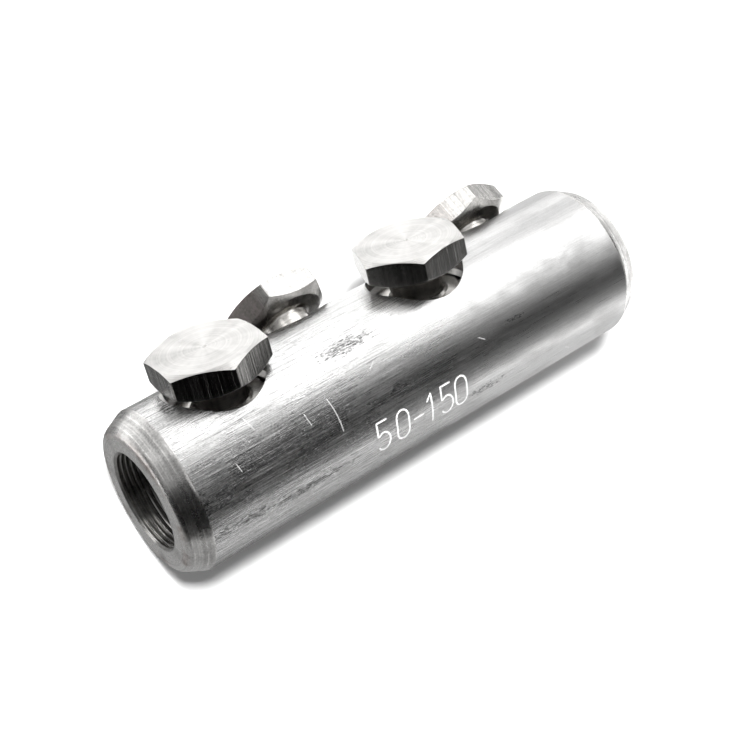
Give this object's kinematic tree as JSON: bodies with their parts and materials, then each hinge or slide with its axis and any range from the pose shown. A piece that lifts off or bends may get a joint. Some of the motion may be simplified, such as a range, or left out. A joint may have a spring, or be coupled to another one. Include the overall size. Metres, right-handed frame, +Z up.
{
  "type": "shear-bolt cable connector",
  "caption": "Turned aluminium through connector for power cables: a cable bore in each end and hex-head shear bolts in two staggered rows.",
  "frame": {"origin": "bottom centre of the bounding box of the connector as it lies on a flat surface", "axes": "+X along the sleeve towards the far cable bore, +Y towards the bolt heads, +Z up"},
  "size_m": [0.094, 0.0356, 0.0331],
  "materials": {
    "turned_aluminium": "drawn bar, bare, with fine lengthwise lines and turned ends",
    "tinned_bolt": "tin-plated brass, turned face, bright edges"
  },
  "bodies": {
    "sleeve": {"sleeve": "turned_aluminium"},
    "bolt_1": {"shear_bolt_1": "tinned_bolt"},
    "bolt_2": {"shear_bolt_2": "tinned_bolt"},
    "bolt_3": {"shear_bolt_3": "tinned_bolt"},
    "bolt_4": {"shear_bolt_4": "tinned_bolt"}
  },
  "joints": [
    {"name": "bolt_1_travel", "type": "slide", "parent": "sleeve", "child": "bolt_1", "axis": [0, 0.7881, 0.6155], "range_m": [-0.0008, 0.0055]},
    {"name": "bolt_2_travel", "type": "slide", "parent": "sleeve", "child": "bolt_2", "axis": [0, 0.9703, -0.2421], "range_m": [-0.002, 0.0055]},
    {"name": "bolt_3_travel", "type": "slide", "parent": "sleeve", "child": "bolt_3", "axis": [0, 0.7881, 0.6155], "range_m": [-0.0012, 0.0055]},
    {"name": "bolt_4_travel", "type": "slide", "parent": "sleeve", "child": "bolt_4", "axis": [0, 0.9703, -0.2421], "range_m": [-0.0009, 0.0055]}
  ]
}
